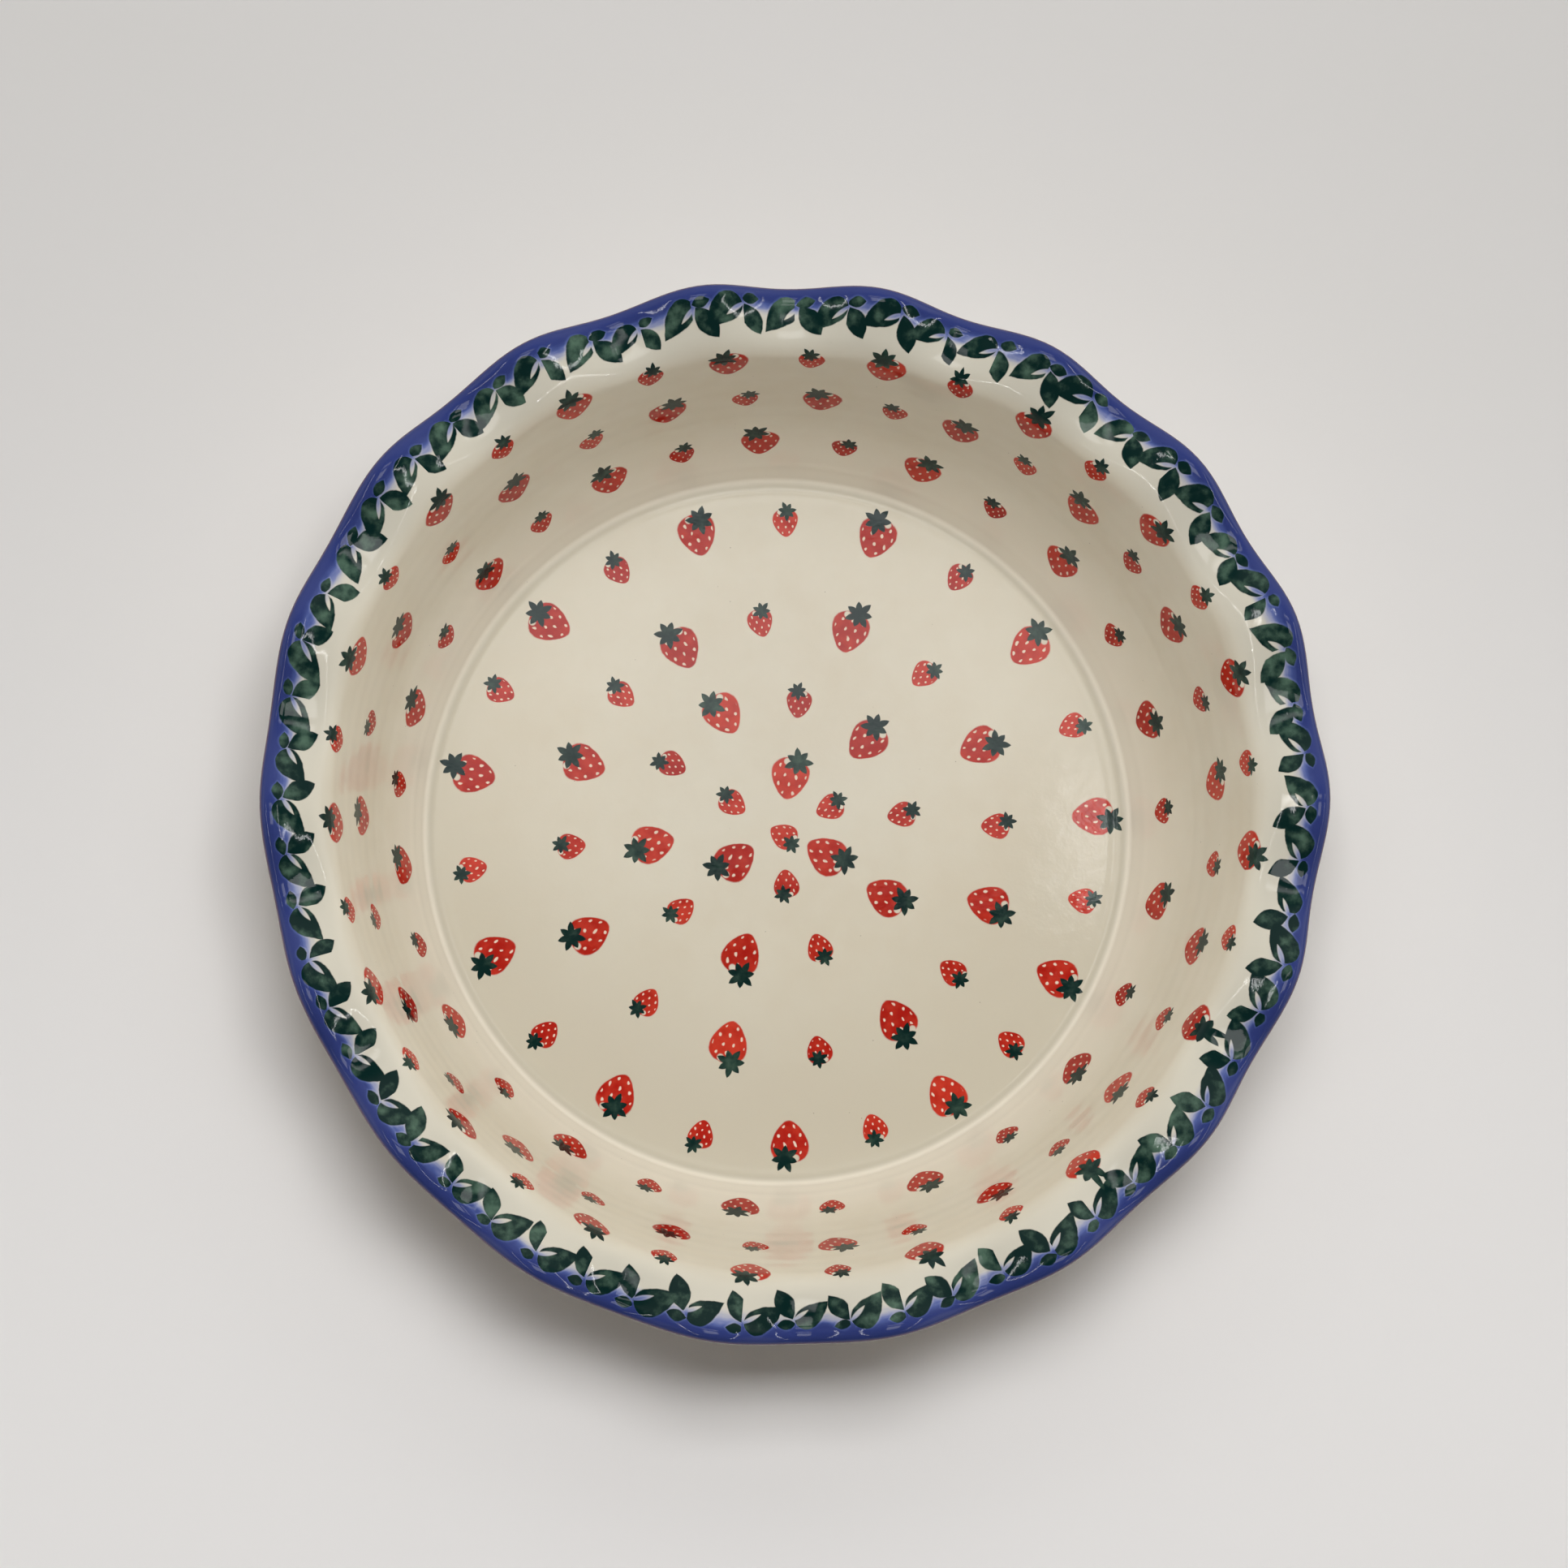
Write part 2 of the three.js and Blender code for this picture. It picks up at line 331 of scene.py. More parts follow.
def make_object(name, rings, is_closed, stamps=None):
    """A closed smooth mesh over rings of points, with the attributes that its glaze reads."""
    vertices, number = numbered(rings)
    ring, column = skin_faces(len(rings.points), is_closed)
    faces = number[ring, column]
    kept = np.ones(faces.shape, bool)
    kept[:, 1] = faces[:, 0] != faces[:, 1]
    kept[:, 3] = faces[:, 2] != faces[:, 3]
    mesh = bpy.data.meshes.new(name)
    mesh.from_pydata(vertices.tolist(), [], [face[keep].tolist() for face, keep in zip(faces, kept)])
    corners = rings.points[ring, column]
    face_of = np.repeat(np.arange(len(faces)), kept.sum(axis=1))
    ring_of, column_of = ring[kept], column[kept]
    is_flat = np.isin(ring[:, 0], list(rings.sharp))[face_of]
    normals = np.where(is_flat[:, None], flat_normals(corners)[face_of], rings.normals[ring_of, column_of])
    mesh.polygons.foreach_set("use_smooth", np.ones(len(faces), bool))
    mesh.normals_split_custom_set(normals.tolist())
    bake_map = mesh.uv_layers.new(name="OFBake")
    bake_map.uv.foreach_set("vector", rings.maps[ring_of, column_of].astype(np.float32).ravel())
    store(mesh, "reach", "FLOAT", rings.reaches[ring_of] / MM)
    if stamps is not None:
        store_stamps(mesh, stamps, corners.mean(axis=1), face_of, rings.points[ring_of, column_of])
    piece = bpy.data.objects.new(name, mesh)
    bpy.context.scene.collection.objects.link(piece)
    return piece


def store(mesh, name, kind, values):
    """Keeps a value for each face corner under a name that materials can read."""
    attribute = mesh.attributes.new(name, kind, "CORNER")
    key = "value" if kind == "FLOAT" else "vector"
    attribute.data.foreach_set(key, np.ascontiguousarray(values, np.float32).ravel())


# Stamped berries. Two stamps take turns round each row, and the leaves of each berry point to the lip.
LARGE_STAMP = 1.0
SMALL_STAMP = 0.67
TURN_JITTER = math.radians(9)
PLACE_JITTER = 0.9 * MM
CALYX_PLACE = 4.5  # from the middle of the berry to its star of leaves, in millimetres of the large stamp
CALYX_SHIFT = 1.4
CALYX_JITTER = 0.45
NOTCH_SHIFT = 3.0
MIDDLE_STAMP = 1.4 * MM  # the berry in the middle of the floor lies this far from the axis
MIDDLE_STAMP_ANGLE = math.radians(330)
hand = np.random.default_rng(11)


class Row:
    """A row of stamps round the bowl: so many, at a radius on the floor or a height on the wall.
    The hand that set them ran ahead and fell behind, once and twice in a round."""

    def __init__(self, count, place, first, large_first, once=(0, 0), twice=(0, 0), lean=(0, 0)):
        self.count = count
        self.place = place
        self.first = first
        self.large_first = large_first
        self.once = once
        self.twice = twice
        self.lean = lean

    def stamps(self):
        """Angle, place and scale of each stamp."""
        for index in range(self.count):
            turn = FULL_TURN * index / self.count
            drift = self.once[0] * math.cos(turn) + self.once[1] * math.sin(turn)
            drift += self.twice[0] * math.cos(2 * turn) + self.twice[1] * math.sin(2 * turn)
            angle = turn + math.radians(self.first + drift)
            place = self.place + self.lean[0] * math.cos(turn) + self.lean[1] * math.sin(turn)
            is_large = (index % 2 == 0) == self.large_first
            yield angle, place, LARGE_STAMP if is_large else SMALL_STAMP


FLOOR_ROWS = [
    Row(6, 14.4 * MM, 28, False, once=(-7.4, -6.2)),
    Row(10, 34 * MM, 5.3, False, once=(1.5, 3.2), twice=(1.4, 1.1)),
    Row(16, 57.7 * MM, 5.2, False, once=(-1.5, -2.9), twice=(-2.2, -0.3), lean=(1.7 * MM, -1.8 * MM)),
    Row(22, 83.2 * MM, 6.8, True, once=(-1.8, -1.6), twice=(-1.9, 0.4), lean=(0.9 * MM, -0.3 * MM)),
]
WALL_ROWS = [
    Row(28, 27.9 * MM, -1.6, False, once=(3.9, 4.7), lean=(0.3 * MM, 1.4 * MM)),
    Row(32, 54.3 * MM, 1.9, True, once=(2.1, -5.5), twice=(1.0, 1.8), lean=(1.9 * MM, -0.7 * MM)),
    Row(34, 75.8 * MM, 2.9, False, once=(1.8, 1.4), twice=(1.3, 0.4)),
]
OUTSIDE_ROWS = [
    Row(28, 26 * MM, 4, True, once=(3, -2)),
    Row(32, 47 * MM, 9, False, once=(-2, 3)),
    Row(34, 67 * MM, 2, True, once=(2, 2)),
]


def swung(at, angle):
    """A place or direction of the section, swung round the Z axis."""
    return np.array([at.real * math.cos(angle), at.real * math.sin(angle), at.imag])


def placed(at, up, facing, angle, scale):
    """One stamp: its place, its axes on the surface, its scale and how the hand set it."""
    place = swung(at, angle)
    up = swung(up, angle)
    facing = swung(facing, angle)
    across = np.cross(up, facing)
    tilt = hand.normal(0, TURN_JITTER / 2)
    place = place + (across * hand.normal() + up * hand.normal()) * PLACE_JITTER / 2
    side = hand.choice((-1, 1))
    calyx_at = side * CALYX_SHIFT + hand.normal(0, CALYX_JITTER)
    return {
        "place": place,
        "across": across * math.cos(tilt) + up * math.sin(tilt),
        "up": up * math.cos(tilt) - across * math.sin(tilt),
        "scale": scale,
        "tone": hand.uniform(),
        "calyx_turn": hand.uniform(0, FULL_TURN),
        "calyx_at": calyx_at,
        "calyx_up": CALYX_PLACE + hand.normal(0, CALYX_JITTER),
        "notch_at": calyx_at - side * NOTCH_SHIFT,
    }


def wall_stamps(rows, is_inside):
    """Stamps on the inside or the outside of the wall, each on the row of the section at its height."""
    on_side = np.flatnonzero((reach > 0) == is_inside)
    for row in rows:
        for angle, height, scale in row.stamps():
            nearest = on_side[np.argmin(np.abs(clay_at[on_side].imag - height))]
            facing = complex(clay_out[nearest])
            at = complex(clay_at[nearest]) + facing * GLAZE_THICKNESS
            yield placed(at, facing * (-1j if is_inside else 1j), facing, angle, scale)


def inside_stamps():
    middle = complex(MIDDLE_STAMP, FLOOR_HEIGHT)
    stamps = [placed(middle, 1 + 0j, 1j, MIDDLE_STAMP_ANGLE, SMALL_STAMP)]
    for row in FLOOR_ROWS:
        for angle, radius, scale in row.stamps():
            stamps.append(placed(complex(radius, FLOOR_HEIGHT), 1 + 0j, 1j, angle, scale))
    return stamps + list(wall_stamps(WALL_ROWS, True))


def outside_stamps():
    return list(wall_stamps(OUTSIDE_ROWS, False))


def store_stamps(mesh, stamps, middles, face_of, corners):
    """Gives each face the nearest stamp and each corner its place on it.
    The places are in millimetres of the large stamp."""
    table = {key: np.array([stamp[key] for stamp in stamps]) for key in stamps[0]}
    gaps = np.linalg.norm(middles[:, None, :] - table["place"][None, :, :], axis=2)
    nearest = np.argmin(gaps, axis=1)[face_of]
    own = {key: values[nearest] for key, values in table.items()}
    away = (corners - own["place"]) / MM / own["scale"][:, None]
    across = (away * own["across"]).sum(axis=1)
    up = (away * own["up"]).sum(axis=1)
    store(mesh, "stamp", "FLOAT_VECTOR", np.stack([across, up, own["tone"]], axis=1))
    beside, above = across - own["calyx_at"], up - own["calyx_up"]
    cosine, sine = np.cos(own["calyx_turn"]), np.sin(own["calyx_turn"])
    calyx = [beside * cosine - above * sine, beside * sine + above * cosine, own["notch_at"]]
    store(mesh, "calyx", "FLOAT_VECTOR", np.stack(calyx, axis=1))


class Num:
    """A number that a material's nodes work out. It takes part in sums as a plain number does."""

    def __init__(self, tree, socket):
        self.tree = tree
        self.socket = socket

    def math(self, operation, *others):
        node = self.tree.nodes.new("ShaderNodeMath")
        node.operation = operation
        for value, socket in zip((self, *others), node.inputs):
            plug(value, socket)
        return Num(self.tree, node.outputs[0])

    def __add__(self, other):
        return self.math("ADD", other)

    def __sub__(self, other):
        return self.math("SUBTRACT", other)

    def __rsub__(self, other):
        return self.math("MULTIPLY_ADD", -1.0, other)

    def __mul__(self, other):
        return self.math("MULTIPLY", other)

    def __truediv__(self, other):
        return self.math("DIVIDE", other)

    def __pow__(self, other):
        return self.math("POWER", other)

    def __abs__(self):
        return self.math("ABSOLUTE")

    __radd__ = __add__
    __rmul__ = __mul__

    def rise(self, low, high):
        """0 below low, 1 above high and smooth between. With low above high it falls."""
        node = self.tree.nodes.new("ShaderNodeMapRange")
        node.interpolation_type = "SMOOTHSTEP"
        plug(self, node.inputs["Value"])
        plug(low, node.inputs["From Min"])
        plug(high, node.inputs["From Max"])
        return Num(self.tree, node.outputs["Result"])


def plug(value, socket):
    """Links a node's output to a socket, or sets the socket to a plain value."""
    if isinstance(value, Num):
        value.tree.links.new(value.socket, socket)
    elif isinstance(value, bpy.types.NodeSocket):
        socket.id_data.links.new(value, socket)
    else:
        socket.default_value = value


def hypot(first, second):
    return (first * first + second * second).math("SQRT")


def most(*numbers):
    best = numbers[0]
    for number in numbers[1:]:
        best = best.math("MAXIMUM", number)
    return best


def srgb(red, green, blue):
    """A colour as it is seen on a screen, from 0 to 255, as the linear colour that nodes use."""
    parts = [value / 255 for value in (red, green, blue)]
    linear = [part / 12.92 if part <= 0.04045 else ((part + 0.055) / 1.055) ** 2.4 for part in parts]
    return (*linear, 1.0)


class Paint:
    """Builds the node tree of one material."""

    def __init__(self, name):
        self.material = bpy.data.materials.new(name)
        self.material.use_nodes = True
        self.tree = self.material.node_tree
        self.shader = self.tree.nodes["Principled BSDF"]
        coordinates = self.tree.nodes.new("ShaderNodeTexCoord")
        self.place = coordinates.outputs["Object"]

    def parts(self, socket):
        node = self.tree.nodes.new("ShaderNodeSeparateXYZ")
        plug(socket, node.inputs[0])
        return [Num(self.tree, output) for output in node.outputs]

    def attribute(self, name):
        node = self.tree.nodes.new("ShaderNodeAttribute")
        node.attribute_name = name
        return node.outputs

    def noise(self, size, detail=2.0, place=None, roughness=0.5):
        """Soft noise about 0 with spots so many metres wide, or so many units of the place given."""
        node = self.tree.nodes.new("ShaderNodeTexNoise")
        plug(place or self.place, node.inputs["Vector"])
        node.inputs["Scale"].default_value = 1 / size
        node.inputs["Detail"].default_value = detail
        node.inputs["Roughness"].default_value = roughness
        return Num(self.tree, node.outputs["Fac"]) - 0.5

    def chance(self, number):
        """Three numbers from 0 to 1 that look random, from a whole number."""
        node = self.tree.nodes.new("ShaderNodeTexWhiteNoise")
        node.noise_dimensions = "1D"
        plug(number, node.inputs["W"])
        return self.parts(node.outputs["Color"])

    def vector(self, across, up, out=0.0):
        node = self.tree.nodes.new("ShaderNodeCombineXYZ")
        for value, socket in zip((across, up, out), node.inputs):
            plug(value, socket)
        return node.outputs[0]

    def mix(self, share, low, high):
        """A colour between two others."""
        node = self.tree.nodes.new("ShaderNodeMix")
        node.data_type = "RGBA"
        plug(share, node.inputs[0])
        plug(low, node.inputs[6])
        plug(high, node.inputs[7])
        return node.outputs[2]

    def bump(self, height, distance, strength=1.0):
        node = self.tree.nodes.new("ShaderNodeBump")
        node.inputs["Distance"].default_value = distance
        node.inputs["Strength"].default_value = strength
        plug(height, node.inputs["Height"])
        plug(node.outputs[0], self.shader.inputs["Normal"])

    def specks(self, size, radius, share):
        """Small round spots: one cell of this size in so many holds a spot."""
        node = self.tree.nodes.new("ShaderNodeTexVoronoi")
        plug(self.place, node.inputs["Vector"])
        node.inputs["Scale"].default_value = 1 / size
        distance = Num(self.tree, node.outputs["Distance"])
        luck = self.parts(node.outputs["Color"])
        spot = distance.rise(1.5 * radius / size, 0.5 * radius / size)
        return spot * luck[0].rise(1 - share, 1.01 - share)


CREAM = srgb(228, 222, 205)
WARM_CREAM = srgb(221, 212, 191)
# Painted light: a lighter cream for the low inside wall.
PAINTED_LIGHT_CREAM = srgb(241, 234, 218)
# Painted shade: darker creams for the inside floor, the last one for the floor's edge.
FLOOR_SHADE_CREAM = srgb(217, 211, 194)
WARM_FLOOR_SHADE = srgb(211, 202, 182)
FLOOR_EDGE_SHADE = srgb(197, 190, 172)
# A greyer cream for the lip: partly a grey wash, partly painted shade on the up-facing flare.
LIP_GREY_AND_SHADE = srgb(206, 201, 186)
IRON = srgb(92, 78, 62)
DEEP_RED = srgb(164, 27, 18)
PALE_RED = srgb(198, 60, 43)
SEED = srgb(226, 205, 184)
DARK_GREEN = srgb(11, 37, 35)
SAGE = srgb(82, 108, 92)
DEEP_BLUE = srgb(49, 60, 117)
MID_BLUE = srgb(100, 118, 180)
RUST = srgb(112, 74, 72)
BARE_CLAY = srgb(204, 176, 138)
PALE_CLAY = srgb(218, 194, 160)

# Clouds and specks of the cream
CLOUD_SIZE = 40 * MM
SPOT_SIZE = 7 * MM
SPOT_SHARE = 0.4
WARM_CLOUDS = (-0.3, 0.45)
SPECK_CELL = 3.2 * MM
SPECK_RADIUS = 0.15 * MM
SPECK_CHANCE = 0.11
SPECK_STRENGTH = 0.5

# The glaze's surface
PEEL_SIZE = 0.9 * MM
SWELL_SIZE = 6 * MM
SWELL_SHARE = 3.0
PEEL_HEIGHT = 0.012 * MM
GLOSS_SIZE = 5 * MM
GLOSS_CHANGE = 0.03
GLAZE_ROUGHNESS = 0.06
GLAZE_SPECULAR = 0.2

# Bare clay
GRAIN_SIZE = 0.5 * MM
GRAIN_CONTRAST = 0.7
GRAIN_HEIGHT = 0.06 * MM
GRAIN_SHARE = 0.5
CLAY_CLOUD_SIZE = 14 * MM
CLAY_CLOUDS = (-0.3, 0.3)
CLAY_SPECK_CELL = 1.6 * MM
CLAY_SPECK_RADIUS = 0.12 * MM
CLAY_SPECK_CHANCE = 0.12
CLAY_SPECK_STRENGTH = 0.6
CLAY_ROUGHNESS = 0.82
CLAY_ROUGHNESS_CHANGE = 0.12

# Painted light and shade on the inside: heights between which the cream is painted lighter down the wall,
# and the middle, radii and heights of the painted shade on the floor
PAINTED_LIGHT_TOP = 42 * MM
PAINTED_LIGHT_FULL = 16 * MM
FLOOR_SHADE_MIDDLE = 25 * MM  # on the Y axis
FLOOR_SHADE_START = 45 * MM
FLOOR_SHADE_FULL = 115 * MM
FLOOR_SHADE_HEIGHTS = (FLOOR_HEIGHT + 2.0 * MM, FLOOR_HEIGHT + 0.8 * MM)

# The cream is greyer on the inside of the lip, partly a grey wash and partly painted shade on the flare that
# faces up to the lamps, and its edge is rusty: millimetres in from the lip's edge
LIP_TONE = (24.0, 12.0)
LIP_TONE_OUTSIDE = (-6.0, 0.0)
RUST_PLACE = -0.4
RUST_REACH = (1.5, 0.3)
RUST_SHARE = 0.7

# A berry, in millimetres of the large stamp from the middle of its red body, with its noise on the bowl
BODY_HALF_LENGTH = 5.7
BODY_HALF_WIDTH = 4.85
BODY_TAPER = 0.34
NOTCH_PLACE = 4.4
NOTCH_RADIUS = 0.9
BODY_EDGE = 0.22
BODY_WOBBLE = 0.5
BODY_WOBBLE_SIZE = 2.2 * MM
WASH_SIZE = 3.5 * MM
WASH_CHANGE = 1.3
WASH_TONE = 0.5
WASH_LEAST = 0.2
CALYX_POINTS = 7
CALYX_INNER = 2.05
CALYX_POINT_LENGTH = 1.75
CALYX_POINT_CURVE = 0.95
CALYX_UNEVEN = 0.2
CALYX_UNEVEN_STEP = 2.4
CALYX_WOBBLE = 0.6
CALYX_EDGE = 0.15
CALYX_SHADE_SIZE = 2.5 * MM
CALYX_SHADE = 1.2
CALYX_TONE = 0.3
CALYX_GREENS = (-0.05, 1.2)
SEED_STEP_ACROSS = 2.9
SEED_STEP_UP = 2.4
SEED_HALF_WIDTH = 0.34
SEED_HALF_LENGTH = 0.52
SEED_ROW_START = 0.2
SEED_EDGE = (1.25, 0.75)
SEED_STRAY_SIZE = 2.4 * MM
SEED_STRAY_ACROSS = 1.2
SEED_STRAY_UP = 1.5
SEED_INSET = (0.6, 0.9)
SEED_NOTCH_GAP = (0.3, 0.6)

# The garland, in millimetres along the lip and in from its edge, with its noise on the bowl
GARLAND_COUNT = 60
GARLAND_RADIUS = 125.0
GARLAND_PLACE = 5.4
LEAF_WOBBLE = 0.7
LEAF_WOBBLE_SIZE = 2.6 * MM
LEAF_EDGE = (-0.15, 0.2)
LEAF_SHADE_SIZE = 4 * MM
LEAF_SHADE = 2.6
LEAF_TONE = 0.4
LEAF_DEPTH_TONE = 0.1
LEAF_GREENS = (0.05, 1.15)
HALO_EDGE = (-0.7, 0.1)
HALO_SHARE = 0.22
BLUE_END = 10.4
BLUE_FADE = 7.6
BLUE_DEEPENS = (0.35, 1.0)
BLUE_COVERS = (0.0, 0.75)
STREAK_DENSITY = (0.9, 0.35)
STREAK_LENGTH = 4.0
SPONGE_SIZE = 9 * MM
SPONGE_LENGTH = 3.5

# How much the leaves of the garland stray: along the lip, in from it, in turn and in size
STRAY_ALONG = 1.8
STRAY_IN = 1.6
STRAY_TURN = 0.3
STRAY_SIZE = 0.2
LEAST_SIZE = 0.9


class Leaf:
    """A painted leaf of the garland: where it starts from its node, which way it points and its size."""

    POINTED_FULLNESS = 4.0
    DROP_FULLNESS = 2.6

    def __init__(self, start, heading, length, half_width, is_drop=False):
        self.start = start
        self.heading = math.radians(heading)
        self.length = length
        self.half_width = half_width
        self.is_drop = is_drop

    def depth(self, beside, inward, sway, growth):
        """How far inside the leaf a point lies, in millimetres. Sway turns the leaf and growth scales it."""
        heading = sway + self.heading
        cosine, sine = heading.math("COSINE"), heading.math("SINE")
        across = beside - self.start[0]
        up = inward - self.start[1]
        size = growth * self.length
        place = (across * cosine + up * sine) / size
        share = place.math("MAXIMUM", 0.0).math("MINIMUM", 1.0)
        past_end = abs(place - share) * size
        aside = abs(up * cosine - across * sine)
        if self.is_drop:
            half = share.math("SQRT") * (1.0 - share) * self.DROP_FULLNESS
        else:
            half = share * (1.0 - share) * self.POINTED_FULLNESS
        return half * growth * self.half_width - aside - past_end


BIG_LEAF = Leaf((0.7, -1.1), 41, 11.0, 3.3, is_drop=True)
LEAF_SLIT = Leaf((-0.6, 0.2), 37, 5.4, 0.55)
SMALL_LEAF = Leaf((-0.4, 0.6), 119, 8.9, 2.55)
DROP = Leaf((-4.3, -0.9), 6, 4.6, 1.4)


def berry_paint(paint, base):
    """Paints the nearest berry over a colour."""
    across, up, tone = paint.parts(paint.attribute("stamp")["Vector"])
    beside, above, notch_at = paint.parts(paint.attribute("calyx")["Vector"])
    wobble = paint.noise(BODY_WOBBLE_SIZE, detail=3) * BODY_WOBBLE
    width = up * (BODY_TAPER * BODY_HALF_WIDTH / BODY_HALF_LENGTH) + BODY_HALF_WIDTH
    from_middle = hypot(across / width, up / BODY_HALF_LENGTH)
    inside = (1.0 - from_middle) * BODY_HALF_LENGTH + wobble
    notch = hypot(across - notch_at, up - NOTCH_PLACE) - NOTCH_RADIUS
    body = inside.rise(-BODY_EDGE, BODY_EDGE) * notch.rise(-BODY_EDGE, BODY_EDGE)
    wash = paint.noise(WASH_SIZE, detail=3) * WASH_CHANGE + tone * WASH_TONE + WASH_LEAST
    red = paint.mix(wash.rise(0.0, 1.0), DEEP_RED, PALE_RED)
    seeds = seed_mask(paint, across, up) * inside.rise(*SEED_INSET) * notch.rise(*SEED_NOTCH_GAP)
    colour = paint.mix(seeds, paint.mix(body, base, red), SEED)
    shade = paint.noise(CALYX_SHADE_SIZE, detail=3) * CALYX_SHADE + tone * CALYX_TONE
    green = paint.mix(shade.rise(*CALYX_GREENS), DARK_GREEN, SAGE)
    return paint.mix(star_mask(beside, above, wobble), colour, green)


def seed_mask(paint, across, up):
    """Seeds in rows that stray a little, each row half a step beside the last."""
    stray = paint.noise(SEED_STRAY_SIZE, detail=1)
    row = (up + stray * SEED_STRAY_UP) / SEED_STEP_UP + SEED_ROW_START
    column = (across - stray * SEED_STRAY_ACROSS) / SEED_STEP_ACROSS + row.math("FLOOR") * 0.5
    seed_across = (column.math("FRACT") - 0.5) * (SEED_STEP_ACROSS / SEED_HALF_WIDTH)
    seed_up = (row.math("FRACT") - 0.5) * (SEED_STEP_UP / SEED_HALF_LENGTH)
    return hypot(seed_across, seed_up).rise(*SEED_EDGE)


def star_mask(beside, above, wobble):
    """A star of pointed leaves."""
    from_star = hypot(beside, above)
    turn = above.math("ARCTAN2", beside) * (CALYX_POINTS / FULL_TURN)
    off_point = abs(turn.math("FRACT") - 0.5) * 2.0
    uneven = (turn.math("FLOOR") * CALYX_UNEVEN_STEP).math("SINE") * CALYX_UNEVEN + 1.0
    edge = (1.0 - off_point) ** CALYX_POINT_CURVE * CALYX_POINT_LENGTH * uneven + CALYX_INNER
    return (edge + wobble * CALYX_WOBBLE - from_star).rise(-CALYX_EDGE, CALYX_EDGE)


def strayed(beside, inward, luck, size_luck):
    """A place beside a node of the garland as its leaves find it, with their turn and size."""
    return (
        beside + (luck[0] - 0.5) * STRAY_ALONG,
        inward + (luck[1] - 0.5) * STRAY_IN,
        (luck[2] - 0.5) * STRAY_TURN,
        size_luck * STRAY_SIZE + LEAST_SIZE,
    )


def garland_paint(paint, base, reach_in):
    """Paints the blue edge and the leaf garland over a colour."""
    x, y, _ = paint.parts(paint.place)
    turn = y.math("ARCTAN2", x) * (GARLAND_COUNT / FULL_TURN)
    node = turn.math("FLOOR")
    pitch = FULL_TURN * GARLAND_RADIUS / GARLAND_COUNT
    beside = (turn - node) * pitch
    inward = reach_in - GARLAND_PLACE
    wobble = paint.noise(LEAF_WOBBLE_SIZE, detail=3) * LEAF_WOBBLE
    luck = paint.chance(node.math("FLOORED_MODULO", float(GARLAND_COUNT)))
    next_luck = paint.chance((node + 1.0).math("FLOORED_MODULO", float(GARLAND_COUNT)))
    own = strayed(beside, inward, luck, luck[1])
    following = strayed(beside - pitch, inward, next_luck, next_luck[0])
    big = (BIG_LEAF.depth(*own) + wobble).math("MINIMUM", -1.0 * LEAF_SLIT.depth(*own))
    small = SMALL_LEAF.depth(*following) + wobble
    drop = DROP.depth(*following) + wobble
    depth = most(big, small, drop)
    halo = depth.rise(*HALO_EDGE)
    blue = blue_share(paint, abs(reach_in), turn) * (1.0 - halo * HALO_SHARE)
    cobalt = paint.mix(blue.rise(*BLUE_DEEPENS), MID_BLUE, DEEP_BLUE)
    colour = paint.mix(blue.rise(*BLUE_COVERS), base, cobalt)
    shade = paint.noise(LEAF_SHADE_SIZE, detail=4) * LEAF_SHADE
    shade = shade + luck[2] * LEAF_TONE + depth * LEAF_DEPTH_TONE
    green = paint.mix(shade.rise(*LEAF_GREENS), DARK_GREEN, SAGE)
    return paint.mix(depth.rise(*LEAF_EDGE), colour, green)


def blue_share(paint, from_edge, turn):
    """How much cobalt lies at a distance from the lip's edge: full there, and gone after an uneven fade."""
    along_lip, inward = STREAK_DENSITY
    streak = paint.noise(1.0, detail=4, place=paint.vector(turn * along_lip, from_edge * inward))
    sponge = paint.noise(SPONGE_SIZE, detail=3)
    uneven = from_edge + streak * STREAK_LENGTH + sponge * SPONGE_LENGTH
    return uneven.rise(BLUE_END, BLUE_END - BLUE_FADE)


def cream_paint(paint, is_inside=False):
    """Clear glaze over pale clay: warm clouds and a few iron specks, with painted light and shade on the
    inside.
    """
    cloud = paint.noise(CLOUD_SIZE, detail=4) + paint.noise(SPOT_SIZE, detail=3) * SPOT_SHARE
    warmth = cloud.rise(*WARM_CLOUDS)
    cream = paint.mix(warmth, CREAM, WARM_CREAM)
    if is_inside:
        # On the inside: painted light low on the wall and painted shade on the floor.
        cream = painted_inside_shading(paint, cream, paint.mix(warmth, FLOOR_SHADE_CREAM, WARM_FLOOR_SHADE))
    iron = paint.specks(SPECK_CELL, SPECK_RADIUS, SPECK_CHANCE) * SPECK_STRENGTH
    return paint.mix(iron, cream, IRON)


def painted_inside_shading(paint, cream, floor_shade_colour):
    """Painted light and shade on the inside: the cream is painted lighter low on the wall, and darker on the
    floor, darkest towards the floor's edge under the wall.
    """
    across, far, height = paint.parts(paint.place)
    # Painted light: the cream turns lighter low on the wall.
    cream = paint.mix(height.rise(PAINTED_LIGHT_TOP, PAINTED_LIGHT_FULL), cream, PAINTED_LIGHT_CREAM)
    # Painted shade: the floor darkens away from a middle that lies a little towards the far side.
    edge_shade_share = hypot(across, far - FLOOR_SHADE_MIDDLE).rise(FLOOR_SHADE_START, FLOOR_SHADE_FULL)
    floor_shade_colour = paint.mix(edge_shade_share, floor_shade_colour, FLOOR_EDGE_SHADE)
    # Painted shade: the floor's darker cream takes over just above the floor's height.
    return paint.mix(height.rise(*FLOOR_SHADE_HEIGHTS), cream, floor_shade_colour)


